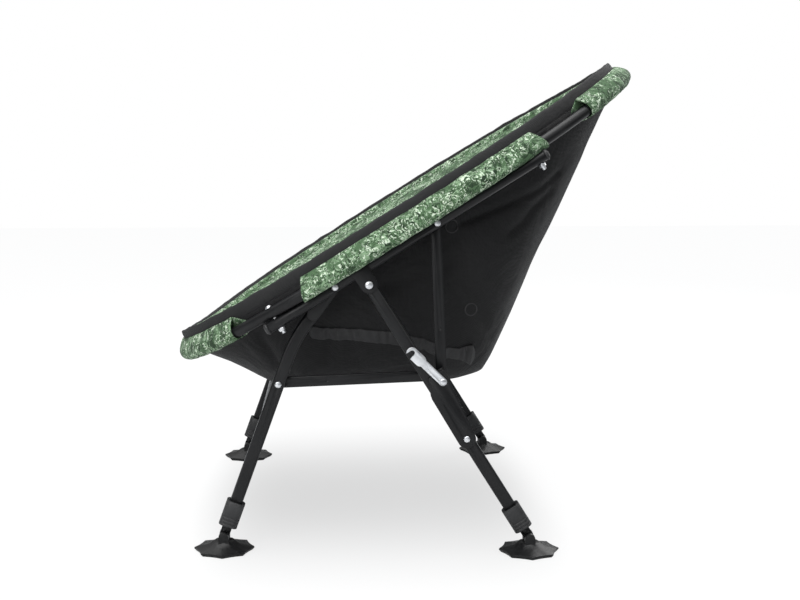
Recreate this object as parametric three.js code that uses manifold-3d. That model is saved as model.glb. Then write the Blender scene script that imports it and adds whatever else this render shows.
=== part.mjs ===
// A low folding chair for the bank side: a padded bucket hung in a hoop, two rails, and four legs
// that fold up behind the seat on a five-bar lever linkage. Millimetres, +Z up, the sitter faces -Y,
// and the sitter's left is +X. The origin lies on the ground, below the middle of the hoop.
import * as THREE from "three";
import { mergeVertices } from "three/addons/utils/BufferGeometryUtils.js";
import Module from "manifold-3d";

const wasm = await Module();
wasm.setup();

// Fits shared by every piece
const gap = 0.3; // between two pieces that touch
const running = 0.3; // round a pin in its hole
const overrun = 2; // how far a cutting tool runs past what it cuts

// Rails: where the front end lies, and how the tube runs
const rail_span = 600; // between the two rails' centre lines
const rail_front_y = -200;
const rail_front_z = 326;
const rail_length = 450;
const rail_slope = 32; // degrees above level
const rail_diameter = 16;
const rail_wall = 1.5;
const cap_rim = 0.9; // how far a cap stands past the tube, all round
const cap_head = 3; // a cap's straight length, and its dome's
const cap_plug = 5;

// Hoop: an egg-shaped ring lying on the rails
const hoop_diameter = 16;
const hoop_overhang = 32; // how far the hoop's widest line stands outside the rails
const hoop_front_reach = 383; // from its widest line to its front
const hoop_rear_reach = 425;
const hoop_middle = 225.5; // its widest line, along the rails from their front ends
const hoop_front_power = 2.5; // squareness of the two halves, 2 is an ellipse
const hoop_rear_power = 2.3;

// Hoop clamps: a bolt through hoop and rail at each crossing
const bolt_diameter = 5.6;
const bolt_head_diameter = 11;
const bolt_head_height = 3;
const nut_diameter = 10;
const nut_height = 4.5;
const bolt_tail = 4.5;

// Pivots on the rails: along from the front end, and above the centre line
const front_pivot_along = 108.5;
const rear_pivot_along = 150;
const rear_pivot_drop = 22;
const post_pivot_along = 275;

// Pivots of the linkage as the chair stands, in y and z
const brace_pivot_y = -189;
const brace_pivot_z = 242;
const knuckle_y = 41.6;
const knuckle_z = 250.2;
const lever_pivot_drop = 258.6; // down the rear leg from its top pivot
const latch_drop = 112.5; // the latch stud, down the rear leg
const foot_pivot_z = 22;
const front_leg_lean = 20; // degrees from upright below the bend
const rear_leg_lean = 32; // degrees from upright

// Legs
const leg_width = 18; // seen from the side
const leg_depth = 15; // across the chair
const leg_wall = 1.5;
const leg_corner = 4;
const leg_step_in = 28; // the front legs stand this far inside the rear ones
const leg_top_setback = 33; // tube's end below the rail pivot
const leg_bend_rise = 67; // the bend's corner above the brace pivot
const leg_bend_reach = 29; // from the corner to each end of the bend

// Plates and rivets
const plate = 3; // yoke plate
const saddle_wall = 2;
const saddle_length = 26;
const saddle_lip = 12; // metal below the pivot
const rivet_diameter = 6;
const rivet_head_diameter = 10.5;
const rivet_head_height = 2.2;

// Lever that folds the rear leg: a tapering channel round the tube
const lever_wall = 2;
const lever_play = 0.5; // between the channel and the leg
const lever_top_width = 37;
const lever_toe = 13; // metal past each pivot
const lever_lip = 2; // past the leg's front face
const lever_shoulder = 27; // from the lever's top end down to where its front lip starts
const lever_web_start = 40; // the channel's back starts this far above its pivot

// Brace and post
const brace_height = 15;
const brace_depth = 5.7;
const post_width = 15;
const post_depth = 6;
const bar_fold = 1.6; // thickness of the folded channel
const brace_dimple_share = 0.3; // how far along each bar its pressed dimple lies
const post_dimple_share = 0.68;
const dimple_radius = 4;
const dimple_depth = 1;

// Latch link
const link_width = 11;
const link_thickness = 2.2;
const link_head = 16;
const latch_mouth = 39; // degrees above level of the way the hook lifts off
const mouth_flare_share = 0.38;

// Collars, stems and feet
const collar_width = 27;
const collar_depth = 24;
const collar_corner = 8;
const collar_height = 37;
const collar_floor = 3;
const collar_rings = 3;
const collar_ring_pitch = 5;
const collar_ring_depth = 0.8;
const collar_foot_rise = 16; // collar's lower end above the foot pivot, along the leg
const stem_diameter = 11.2;
const stem_length = 112; // hidden in the leg
const neck_diameter = 14;
const eye_diameter = 14;
const eye_width = 8;
const foot_pin_diameter = 5;
const foot_diameter = 86;
const foot_rim = 5;
const foot_hub_diameter = 30;
const foot_hub_height = 16;
const foot_recess = 3;
const foot_ring = 9; // width of the ring that stands on the ground
const foot_flutes = 8;
const foot_flute_share = 0.07;

// Cross rods between each pair of legs
const rod_diameter = 8;
const front_rod_drop = 101; // down the front leg from the brace pivot
const rear_rod_drop = 44.5; // down the rear leg from the lever's pivot

// Seat: a cloth bucket with a padded liner
const bucket_half_width = 248; // inside the legs
const bucket_side_drop = 12; // how far the cloth has come down by there
const bucket_depth = 279;
const bucket_deepest = -8; // along from the hoop's widest line
const bucket_front_share = 0.42; // of the depth, where the leg panel ends
const bucket_front_along = -299;
const bucket_seat_share = 0.923; // of the depth, the seat's front edge at its lowest
const bucket_seat_along = -71;
const bucket_side_power = 3;
const cloth = 3;
const pad_thickness = 20;
const pad_rise = 17; // above the hoop's centre line
const bucket_front_depth = bucket_front_share * bucket_depth;
const bucket_seat_depth = bucket_seat_share * bucket_depth;
const pad_channels = 8;
const pad_channel_depth = 5;
const sleeve_wall = 2;
const side_sleeve_front_room = 52.4; // from the front clamp back to the side sleeve, along the rails
const side_sleeve_rear_lap = 17.3; // the side sleeve ends this far behind the rear clamp
const front_sleeve_room = 60; // from the front clamp forward to the front sleeve
const rear_sleeve_room = 99; // from the rear clamp back to the rear sleeve

// Facets
const round = 16;
const small_round = 10;
const plate_round = 7;
const hoop_rings = 56;
const cloth_sides = 40;
const bend_steps = 4; // of a leg's bend, between its two straight parts
const leg_steps = bend_steps + 2;

const rad = THREE.MathUtils.degToRad;
const seat_angle = rad(rail_slope);
const along_dir = new THREE.Vector2(Math.cos(seat_angle), Math.sin(seat_angle));
const above_dir = new THREE.Vector2(-along_dir.y, along_dir.x);
const rail_x = rail_span / 2;
const hoop_half_width = rail_x + hoop_overhang;
const front_leg_x = rail_x - leg_step_in;
const hoop_rise = (rail_diameter + hoop_diameter) / 2 + gap;

// A point of the side view given on the rails' scale, as y and z.
function onRail(along, above = 0) {
  return new THREE.Vector2(rail_front_y, rail_front_z)
    .addScaledVector(along_dir, along)
    .addScaledVector(above_dir, above);
}

const front_pivot = onRail(front_pivot_along);
const rear_pivot = onRail(rear_pivot_along, -rear_pivot_drop);
const post_pivot = onRail(post_pivot_along);
const brace_pivot = new THREE.Vector2(brace_pivot_y, brace_pivot_z);
const knuckle = new THREE.Vector2(knuckle_y, knuckle_z);

// Down a leg that leans back or forward: side is -1 for the front legs and 1 for the rear ones.
function legDirection(lean, side) {
  return new THREE.Vector2(side * Math.sin(rad(lean)), -Math.cos(rad(lean)));
}
const front_down = legDirection(front_leg_lean, -1);
const rear_down = legDirection(rear_leg_lean, 1);
const front_foot = brace_pivot
  .clone()
  .addScaledVector(front_down, (brace_pivot_z - foot_pivot_z) / -front_down.y);
const rear_foot = rear_pivot
  .clone()
  .addScaledVector(rear_down, (rear_pivot.y - foot_pivot_z) / -rear_down.y);
const lever_pivot = rear_pivot.clone().addScaledVector(rear_down, lever_pivot_drop);
const latch = rear_pivot.clone().addScaledVector(rear_down, latch_drop);
const front_rod = brace_pivot.clone().addScaledVector(front_down, front_rod_drop);
const rear_rod = lever_pivot.clone().addScaledVector(rear_down, rear_rod_drop);

// Materials
function paint(name, color, roughness, metalness) {
  return new THREE.MeshStandardMaterial({ name, color, roughness, metalness });
}
const blackMetal = paint("black powder coat", 0x25262a, 0.5, 0.3);
const zinc = paint("zinc", 0xc9ccd0, 0.35, 0.9);
const blackPlastic = paint("black plastic", 0x2a2b2d, 0.6, 0);
const blackCloth = paint("black cloth", 0x1d1e20, 0.9, 0);
const leafCloth = paint("green patterned cloth", 0x5f8a61, 0.9, 0);
const rubber = paint("foot rubber", 0x222325, 0.7, 0);

const chair = new THREE.Group();
const seatFrame = new THREE.Group(); // its y runs up the rails and its z stands square to them
seatFrame.position.set(0, rail_front_y, rail_front_z);
seatFrame.rotation.x = seat_angle;
chair.add(seatFrame);

function place(group, name, geometry, material) {
  const mesh = new THREE.Mesh(geometry, material);
  mesh.name = name;
  group.add(mesh);
  return mesh;
}

// Solids: a closed geometry in and out of the boolean library
function solid(geometry) {
  const bare = geometry.clone();
  bare.deleteAttribute("normal");
  bare.deleteAttribute("uv");
  const merged = mergeVertices(bare, 1e-4);
  return new wasm.Manifold(
    new wasm.Mesh({
      numProp: 3,
      vertProperties: merged.attributes.position.array,
      triVerts: new Uint32Array(merged.index.array),
    }),
  );
}
function geometryOf(body) {
  const mesh = body.getMesh();
  const geometry = new THREE.BufferGeometry();
  geometry.setAttribute("position", new THREE.BufferAttribute(mesh.vertProperties, 3));
  geometry.setIndex(new THREE.BufferAttribute(mesh.triVerts, 1));
  geometry.computeVertexNormals();
  return geometry;
}
function cut(body, ...tools) {
  return geometryOf(tools.reduce((left, tool) => left.subtract(solid(tool)), solid(body)));
}
function join(...pieces) {
  return geometryOf(pieces.map(solid).reduce((a, b) => a.add(b)));
}
function common(a, b) {
  return geometryOf(solid(a).intersect(solid(b)));
}

// A round bar across the chair, from one x to another, at a point of the side view.
function crossBar(diameter, x0, x1, at, sides = small_round) {
  return new THREE.CylinderGeometry(diameter / 2, diameter / 2, x1 - x0, sides)
    .rotateZ(Math.PI / 2)
    .translate((x0 + x1) / 2, at.x, at.y);
}

// A flat outline of the side view, given thickness across the chair from x0 to x1.
const side_view = new THREE.Matrix4().makeBasis(
  new THREE.Vector3(0, 1, 0),
  new THREE.Vector3(0, 0, 1),
  new THREE.Vector3(1, 0, 0),
);
function sidePlate(shape, x0, x1, curveSegments = plate_round) {
  return new THREE.ExtrudeGeometry(shape, { depth: x1 - x0, bevelEnabled: false, curveSegments })
    .applyMatrix4(side_view)
    .translate(x0, 0, 0);
}

// An outline with round ends about two points, with a radius at each.
function linkShape(a, b, radius_a, radius_b = radius_a) {
  const along = Math.atan2(b.y - a.y, b.x - a.x);
  const lean = Math.asin((radius_a - radius_b) / a.distanceTo(b));
  const shape = new THREE.Shape();
  const quarter = Math.PI / 2;
  shape.absarc(a.x, a.y, radius_a, along + quarter - lean, along - quarter + lean, false);
  shape.absarc(b.x, b.y, radius_b, along - quarter + lean, along + quarter - lean, false);
  shape.closePath();
  return shape;
}

// A rectangle with round corners, centred.
function roundedBox(width, height, corner, segments = 2) {
  const shape = new THREE.Shape();
  const w = width / 2 - corner;
  const h = height / 2 - corner;
  const quarter = Math.PI / 2;
  shape.absarc(w, h, corner, 0, quarter, false);
  shape.absarc(-w, h, corner, quarter, 2 * quarter, false);
  shape.absarc(-w, -h, corner, 2 * quarter, 3 * quarter, false);
  shape.absarc(w, -h, corner, 3 * quarter, 4 * quarter, false);
  shape.closePath();
  return new THREE.Shape(shape.getPoints(segments).slice(0, -1));
}

// Lengthwise pieces of a leg are drawn with their top at zero and their length down -Z.
function alongLeg(geometry, x, from, down, distance) {
  const angle = Math.atan2(down.x, -down.y);
  const at = from.clone().addScaledVector(down, distance);
  return geometry.rotateX(angle).translate(x, at.x, at.y);
}
function prism(shape, length, curveSegments = 3) {
  return new THREE.ExtrudeGeometry(shape, { depth: length, bevelEnabled: false, curveSegments })
    .translate(0, 0, -length);
}

// A turned piece about Z, from radius and height pairs that start and end on the axis.
function turned(pairs, sides = round) {
  return new THREE.LatheGeometry(
    pairs.map(([r, z]) => new THREE.Vector2(r, z)),
    sides,
  ).rotateX(Math.PI / 2);
}

// A rivet across the chair: a domed head at x1, a shank, and a flat head at x0, for the +X side.
function rivet(at, x0, x1, ...spacers) {
  const r = rivet_diameter / 2;
  const head = rivet_head_diameter / 2;
  const crown_share = 0.72;
  const pairs = [
    [0, x0 - rivet_head_height],
    [head * crown_share, x0 - rivet_head_height],
    [head, x0 - gap],
    [r, x0 - gap],
  ];
  for (const [low, high] of spacers) pairs.push([r, low], [head, low], [head, high], [r, high]);
  pairs.push(
    [r, x1 + gap],
    [head, x1 + gap],
    [head * crown_share, x1 + rivet_head_height],
    [0, x1 + rivet_head_height],
  );
  return turned(pairs, small_round)
    .rotateY(Math.PI / 2)
    .translate(0, at.x, at.y);
}

// Each side piece is drawn for the sitter's left, +X, and mirrored for the right.
const mirror = new THREE.Matrix4().makeScale(-1, 1, 1);
function mirrored(geometry) {
  const other = geometry.index ? geometry.toNonIndexed() : geometry.clone();
  other.applyMatrix4(mirror);
  const p = other.attributes.position;
  for (let i = 0; i < p.count; i += 3) {
    const a = new THREE.Vector3().fromBufferAttribute(p, i + 1);
    const b = new THREE.Vector3().fromBufferAttribute(p, i + 2);
    p.setXYZ(i + 1, b.x, b.y, b.z);
    p.setXYZ(i + 2, a.x, a.y, a.z);
  }
  other.computeVertexNormals();
  return other;
}
function bothSides(group, name, geometry, material) {
  place(group, name + "_left", geometry, material);
  place(group, name + "_right", mirrored(geometry), material);
}

// A point of an egg-shaped line, and the places where the hoop crosses the rails.
function hoopPoint(angle, x_reach, front_reach, rear_reach, front_power, rear_power) {
  const c = Math.cos(angle);
  const s = Math.sin(angle);
  const reach = c < 0 ? front_reach : rear_reach;
  const power = 2 / (c < 0 ? front_power : rear_power);
  return new THREE.Vector2(
    x_reach * Math.sign(s) * Math.abs(s) ** power,
    reach * Math.sign(c) * Math.abs(c) ** power,
  );
}
function crossing(direction) {
  const power = direction < 0 ? hoop_front_power : hoop_rear_power;
  const reach = direction < 0 ? hoop_front_reach : hoop_rear_reach;
  return hoop_middle + direction * reach * (1 - (rail_x / hoop_half_width) ** power) ** (1 / power);
}
const clamp_front = crossing(-1);
const clamp_rear = crossing(1);

// A tube bent along the hoop: a torus whose rings are moved to the egg-shaped line.
class HoopLine extends THREE.Curve {
  constructor(from, to) {
    super();
    this.from = from;
    this.to = to;
  }
  getPoint(t, target = new THREE.Vector3()) {
    const p = hoopPoint(
      this.from + (this.to - this.from) * t,
      hoop_half_width,
      hoop_front_reach,
      hoop_rear_reach,
      hoop_front_power,
      hoop_rear_power,
    );
    return target.set(p.x, p.y + hoop_middle, hoop_rise);
  }
}
function hoopTube(radius) {
  const rings = hoop_rings;
  const sides = small_round;
  const line = new HoopLine(0, 2 * Math.PI);
  const geometry = new THREE.TorusGeometry(hoop_half_width, radius, sides, rings);
  const p = geometry.attributes.position;
  const points = line.getSpacedPoints(rings);
  for (let j = 0; j <= sides; j++)
    for (let i = 0; i <= rings; i++) {
      const here = points[i % rings];
      const next = points[(i + 1) % rings];
      const last = points[(i + rings - 1) % rings];
      const tangent = new THREE.Vector2(next.x - last.x, next.y - last.y).normalize();
      const turn = (j % sides) * ((2 * Math.PI) / sides);
      const out = radius * Math.cos(turn);
      const up = -radius * Math.sin(turn);
      p.setXYZ(
        j * (rings + 1) + i,
        here.x - out * tangent.y,
        here.y + out * tangent.x,
        here.z + up,
      );
    }
  geometry.computeVertexNormals();
  return geometry;
}

// A cloth sleeve round the hoop, kept inside a box that is given by x and by place along the rails.
function sleeve(x0, x1, along0, along1) {
  const bore = hoop_diameter / 2 + gap;
  const wrap = cut(hoopTube(bore + sleeve_wall), hoopTube(bore));
  const height = 3 * hoop_diameter;
  const zone = new THREE.BoxGeometry(x1 - x0, along1 - along0, height).translate(
    (x0 + x1) / 2,
    (along0 + along1) / 2,
    hoop_rise,
  );
  return common(wrap, zone);
}

// Rails, their caps and the bolts that clamp the hoop on them
function rail() {
  const bore = rail_diameter / 2 - rail_wall;
  const tube = new THREE.CylinderGeometry(rail_diameter / 2, rail_diameter / 2, rail_length, round);
  const inside = new THREE.CylinderGeometry(bore, bore, rail_length + 2 * overrun, round);
  const holes = [clamp_front, clamp_rear].map((along) =>
    new THREE.CylinderGeometry(
      bolt_diameter / 2 + running,
      bolt_diameter / 2 + running,
      rail_diameter + 2 * overrun,
      small_round,
    )
      .rotateX(Math.PI / 2)
      .translate(0, along - rail_length / 2, 0),
  );
  const pins = [front_pivot_along, post_pivot_along].map((along) =>
    crossBar(
      rivet_diameter + 2 * running,
      -rail_diameter / 2 - overrun,
      rail_diameter / 2 + overrun,
      new THREE.Vector2(along - rail_length / 2, 0),
    ),
  );
  return cut(tube, inside, ...holes, ...pins).translate(rail_x, rail_length / 2, 0);
}
function railCap(direction, along) {
  const r = rail_diameter / 2 + cap_rim;
  const plug = rail_diameter / 2 - rail_wall - running;
  const crown_share = 0.6;
  const cap = turned([
    [0, -cap_plug],
    [plug, -cap_plug],
    [plug, gap],
    [r, gap],
    [r, cap_head],
    [r * crown_share, 2 * cap_head],
    [0, 2 * cap_head],
  ]);
  return cap.rotateX((-direction * Math.PI) / 2).translate(rail_x, along, 0);
}
function clampBolt(along) {
  const r = bolt_diameter / 2;
  const top = hoop_rise + hoop_diameter / 2;
  const bottom = -rail_diameter / 2;
  const crown_share = 0.6;
  const body = turned(
    [
      [0, bottom - nut_height - bolt_tail],
      [r, bottom - nut_height - bolt_tail],
      [r, top + gap],
      [bolt_head_diameter / 2, top + gap],
      [(bolt_head_diameter / 2) * crown_share, top + bolt_head_height],
      [0, top + bolt_head_height],
    ],
    small_round,
  );
  const nut = new THREE.CylinderGeometry(nut_diameter / 2, nut_diameter / 2, nut_height, 6)
    .rotateX(Math.PI / 2)
    .translate(0, 0, bottom - gap - nut_height / 2);
  return join(body, nut).translate(rail_x, along, 0);
}

// Saddle over the rail that carries the rear leg, with its pivot pin
function saddle() {
  const inner = rail_diameter / 2 + gap;
  const outer = inner + saddle_wall;
  const section = new THREE.Shape();
  section.absarc(0, 0, outer, 0, Math.PI, false);
  section.lineTo(-outer, -rear_pivot_drop - saddle_lip);
  section.lineTo(-inner, -rear_pivot_drop - saddle_lip);
  section.absarc(0, 0, inner, Math.PI, 0, true);
  section.lineTo(inner, -rear_pivot_drop - saddle_lip);
  section.lineTo(outer, -rear_pivot_drop - saddle_lip);
  section.closePath();
  const bent = new THREE.ExtrudeGeometry(section, {
    depth: saddle_length,
    bevelEnabled: false,
    curveSegments: small_round,
  })
    .rotateX(Math.PI / 2)
    .translate(0, saddle_length / 2, 0);
  const low = new THREE.Vector2(0, -rear_pivot_drop);
  const high = new THREE.Vector2(0, outer);
  const outline = sidePlate(
    linkShape(low, high, saddle_lip, saddle_length / 2),
    -outer - overrun,
    outer + overrun,
  );
  const ears = common(bent, outline);
  const pin = crossBar(rivet_diameter, -outer - rivet_head_height / 2, outer + rivet_head_height / 2, low);
  const heads = [-1, 1].map((side) =>
    crossBar(
      rivet_head_diameter,
      side < 0 ? -outer - rivet_head_height : outer - gap,
      side < 0 ? -outer + gap : outer + rivet_head_height,
      low,
    ),
  );
  return join(ears, pin, ...heads).translate(rail_x, rear_pivot_along, 0);
}

// Front leg: one tube with an easy bend, hung from the rail by a flat yoke
const front_up = front_pivot
  .clone()
  .sub(brace_pivot.clone().addScaledVector(front_down, -leg_bend_rise))
  .normalize();
function frontLegLine() {
  const corner = brace_pivot.clone().addScaledVector(front_down, -leg_bend_rise);
  const top = front_pivot.clone().addScaledVector(front_up, -leg_top_setback);
  const bend_top = corner.clone().addScaledVector(front_up, leg_bend_reach);
  const bend_low = corner.clone().addScaledVector(front_down, leg_bend_reach);
  const low = front_foot.clone().addScaledVector(front_down, -collar_foot_rise - collar_floor - gap);
  const at = (p) => new THREE.Vector3(front_leg_x, p.x, p.y);
  return [
    new THREE.LineCurve3(at(top), at(bend_top)),
    new THREE.QuadraticBezierCurve3(at(bend_top), at(corner), at(bend_low)),
    new THREE.LineCurve3(at(bend_low), at(low)),
  ];
}
function legSection() {
  const shape = roundedBox(leg_depth, leg_width, leg_corner);
  const hole = roundedBox(leg_depth - 2 * leg_wall, leg_width - 2 * leg_wall, leg_corner - leg_wall);
  shape.holes.push(new THREE.Path(hole.getPoints().reverse()));
  return shape;
}
class LegLine extends THREE.Curve {
  constructor(parts) {
    super();
    this.parts = parts;
  }
  getPoint(t, target = new THREE.Vector3()) {
    const place = t * leg_steps;
    const last = leg_steps - 1;
    if (place <= 1) return this.parts[0].getPoint(place, target);
    if (place >= last) return this.parts[2].getPoint(place - last, target);
    return this.parts[1].getPoint((place - 1) / bend_steps, target);
  }
  getPointAt(t, target) {
    return this.getPoint(t, target);
  }
  getTangentAt(t, target = new THREE.Vector3()) {
    const place = t * leg_steps;
    if (place <= 1) return this.parts[0].getTangent(0, target);
    if (place >= leg_steps - 1) return this.parts[2].getTangent(1, target);
    return this.parts[1].getTangent((place - 1) / bend_steps, target);
  }
}
function frontLeg() {
  const line = new LegLine(frontLegLine());
  const tube = new THREE.ExtrudeGeometry(legSection(), {
    extrudePath: line,
    steps: leg_steps,
    bevelEnabled: false,
  });
  const x0 = front_leg_x - leg_depth / 2 - overrun;
  const x1 = front_leg_x + leg_depth / 2 + overrun;
  const yoke_rivet = front_pivot.clone().addScaledVector(front_up, -leg_top_setback - leg_width);
  return cut(
    tube,
    crossBar(rivet_diameter + 2 * running, x0, x1, brace_pivot),
    crossBar(rivet_diameter + 2 * running, x0, front_leg_x, front_rod),
    crossBar(rivet_diameter + 2 * running, x0, x1, yoke_rivet),
  );
}
const yoke_x0 = front_leg_x + leg_depth / 2 + gap;
function yoke() {
  const low = front_pivot.clone().addScaledVector(front_up, -leg_top_setback - leg_width);
  const flat = sidePlate(linkShape(front_pivot, low, leg_width / 2), yoke_x0, yoke_x0 + plate);
  const hole = crossBar(
    rivet_diameter + 2 * running,
    yoke_x0 - overrun,
    yoke_x0 + plate + overrun,
    front_pivot,
  );
  const stud = crossBar(rivet_diameter, yoke_x0 - leg_depth - gap, yoke_x0 + plate / 2, low);
  return join(cut(flat, hole), stud);
}

// Rear leg: one straight tube from the saddle to the foot, with a stud for the latch
const lever_x = leg_depth / 2 + lever_play + lever_wall; // the channel's outer face from the leg's middle
function rearLeg() {
  const top = rivet_diameter + leg_corner / 2;
  const length = rear_pivot.distanceTo(rear_foot) - collar_foot_rise - collar_floor - gap + top;
  const tube = alongLeg(prism(legSection(), length), rail_x, rear_pivot, rear_down, -top);
  const x0 = rail_x - leg_depth / 2;
  const x1 = rail_x + leg_depth / 2;
  const holes = [rear_pivot, lever_pivot].map((p) =>
    crossBar(rivet_diameter + 2 * running, x0 - overrun, x1 + overrun, p),
  );
  holes.push(crossBar(rivet_diameter + 2 * running, x0 - overrun, rail_x, rear_rod));
  const stud_shoulder = crossBar(rivet_head_diameter, x1 - leg_wall, rail_x + lever_x, latch);
  const stud_neck = crossBar(
    rivet_diameter,
    x1 - leg_wall,
    rail_x + lever_x + 2 * gap + link_thickness + rivet_head_height,
    latch,
  );
  return join(cut(tube, ...holes), stud_shoulder, stud_neck);
}

// Collar at a leg's lower end, with grip rings, over the tube and under it
function collar() {
  const outer = roundedBox(collar_depth, collar_width, collar_corner);
  const waist = roundedBox(
    collar_depth - 2 * collar_ring_depth,
    collar_width - 2 * collar_ring_depth,
    collar_corner - collar_ring_depth,
  );
  const body = prism(outer, collar_height);
  const pocket = prism(
    roundedBox(leg_depth + 2 * gap, leg_width + 2 * gap, leg_corner + gap),
    collar_height - collar_floor + overrun,
  ).translate(0, 0, overrun);
  const stem_hole = new THREE.CylinderGeometry(
    stem_diameter / 2 + running,
    stem_diameter / 2 + running,
    2 * (collar_floor + overrun),
    small_round,
  )
    .rotateX(Math.PI / 2)
    .translate(0, 0, -collar_height);
  const grooves = [];
  for (let i = 0; i < collar_rings; i++) {
    const low = -collar_height + collar_ring_pitch * (i + 1);
    const groove_share = 0.4;
    const reach_share = 2; // the cutting ring's size to the collar's
    const ring = cut(
      prism(outer, collar_ring_pitch * groove_share).scale(reach_share, reach_share, 1),
      prism(waist, collar_ring_pitch).translate(0, 0, overrun),
    );
    grooves.push(ring.translate(0, 0, low));
  }
  return cut(body, pocket, stem_hole, ...grooves);
}

// Stem that slides in the leg, with the eye that the foot tilts on
function stem() {
  const neck_top = -collar_height - gap;
  const pivot = -collar_height - collar_foot_rise;
  const rod = new THREE.CylinderGeometry(stem_diameter / 2, stem_diameter / 2, stem_length - pivot, small_round)
    .rotateX(Math.PI / 2)
    .translate(0, 0, pivot + (stem_length - pivot) / 2);
  const neck_length = collar_foot_rise - eye_diameter / 2 - 3 * gap;
  const neck = new THREE.CylinderGeometry(neck_diameter / 2, neck_diameter / 2, neck_length, small_round)
    .rotateX(Math.PI / 2)
    .translate(0, 0, neck_top - neck_length / 2);
  const slim = new THREE.BoxGeometry(eye_width, neck_diameter, collar_foot_rise * 2);
  const eye_zone = slim.translate(0, 0, pivot);
  const eye = crossBar(eye_diameter, -eye_width / 2, eye_width / 2, new THREE.Vector2(0, pivot));
  const hole = crossBar(
    foot_pin_diameter + 2 * running,
    -neck_diameter,
    neck_diameter,
    new THREE.Vector2(0, pivot),
  );
  const clear = new THREE.BoxGeometry(
    2 * neck_diameter,
    2 * neck_diameter,
    eye_diameter + 6 * gap,
  ).translate(0, 0, pivot);
  const shank = cut(rod, clear);
  const tongue = common(eye_zone, join(eye, crossTongue(pivot, neck_top)));
  return cut(join(shank, neck, tongue), hole);
}
function crossTongue(pivot, neck_top) {
  return new THREE.BoxGeometry(eye_width, eye_diameter, neck_top - pivot)
    .translate(0, 0, (neck_top + pivot) / 2);
}

// Foot: a fluted skirt with a forked hub and its pin
function foot() {
  const r = foot_diameter / 2;
  const hub = foot_hub_diameter / 2;
  const inner_ring = r - foot_ring;
  const shoulder_share = 0.55;
  const skirt = turned(
    [
      [0, foot_recess],
      [inner_ring - foot_recess, foot_recess],
      [inner_ring, 0],
      [r - foot_recess, 0],
      [r, foot_recess],
      [r, foot_rim],
      [r * shoulder_share, foot_hub_height * shoulder_share],
      [hub, foot_hub_height * (1 - foot_flute_share)],
      [0, foot_hub_height * (1 - foot_flute_share)],
    ],
    foot_flutes * 3,
  );
  const p = skirt.attributes.position;
  for (let i = 0; i < p.count; i++) {
    const x = p.getX(i);
    const y = p.getY(i);
    const out = Math.hypot(x, y) / r;
    const wave = 1 - foot_flute_share * out * (1 - Math.cos(foot_flutes * Math.atan2(y, x)));
    p.setXYZ(i, x * wave, y * wave, p.getZ(i) * (1 - foot_flute_share * (1 - wave)));
  }
  const cheek = eye_diameter / 2 + running;
  const pivot = new THREE.Vector2(0, foot_pivot_z);
  const block = join(
    new THREE.BoxGeometry(2 * hub, 2 * cheek, foot_pivot_z - foot_rim)
      .translate(0, 0, (foot_pivot_z + foot_rim) / 2),
    crossBar(2 * cheek, -hub, hub, pivot, round),
  );
  const slot_width = eye_width + 2 * running;
  const slot_floor = foot_pivot_z - eye_diameter / 2 - 2 * running;
  const slot = new THREE.BoxGeometry(slot_width, foot_diameter, foot_pivot_z)
    .translate(0, 0, slot_floor + foot_pivot_z / 2);
  const pin = crossBar(
    foot_pin_diameter,
    -hub,
    hub,
    pivot,
  );
  return join(cut(join(skirt, block), slot), pin);
}

// Cross rod between a pair of legs, with a spigot through each leg's inner wall
function crossRod(leg_x, at) {
  const face = leg_x - leg_depth / 2;
  const reach = face + leg_wall;
  return join(
    crossBar(rod_diameter, -face + gap, face - gap, at, round),
    crossBar(rivet_diameter, -reach, reach, at),
  );
}

// Brace and post: folded channels with round ends and a pressed dimple
const brace_x1 = front_leg_x - leg_depth / 2 - gap;
const brace_x0 = brace_x1 - brace_depth;
const post_x0 = front_leg_x + leg_depth / 2 + 2 * gap;
const post_x1 = post_x0 + post_depth;
function foldedBar(a, b, width, x0, x1, dimple_share) {
  const outline = sidePlate(linkShape(a, b, width / 2), x0, x1);
  const inner = sidePlate(
    linkShape(a.clone().lerp(b, width / a.distanceTo(b)), b.clone().lerp(a, width / a.distanceTo(b)), width / 2 - bar_fold),
    x0 - overrun,
    x1 - bar_fold,
  );
  const hole = crossBar(rivet_diameter + 2 * running, x0 - overrun, x1 + overrun, a);
  const press = new THREE.SphereGeometry(dimple_radius, small_round, small_round / 2).translate(
    x1 + dimple_radius - dimple_depth,
    a.x + (b.x - a.x) * dimple_share,
    a.y + (b.y - a.y) * dimple_share,
  );
  return cut(outline, inner, press, hole);
}

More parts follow.
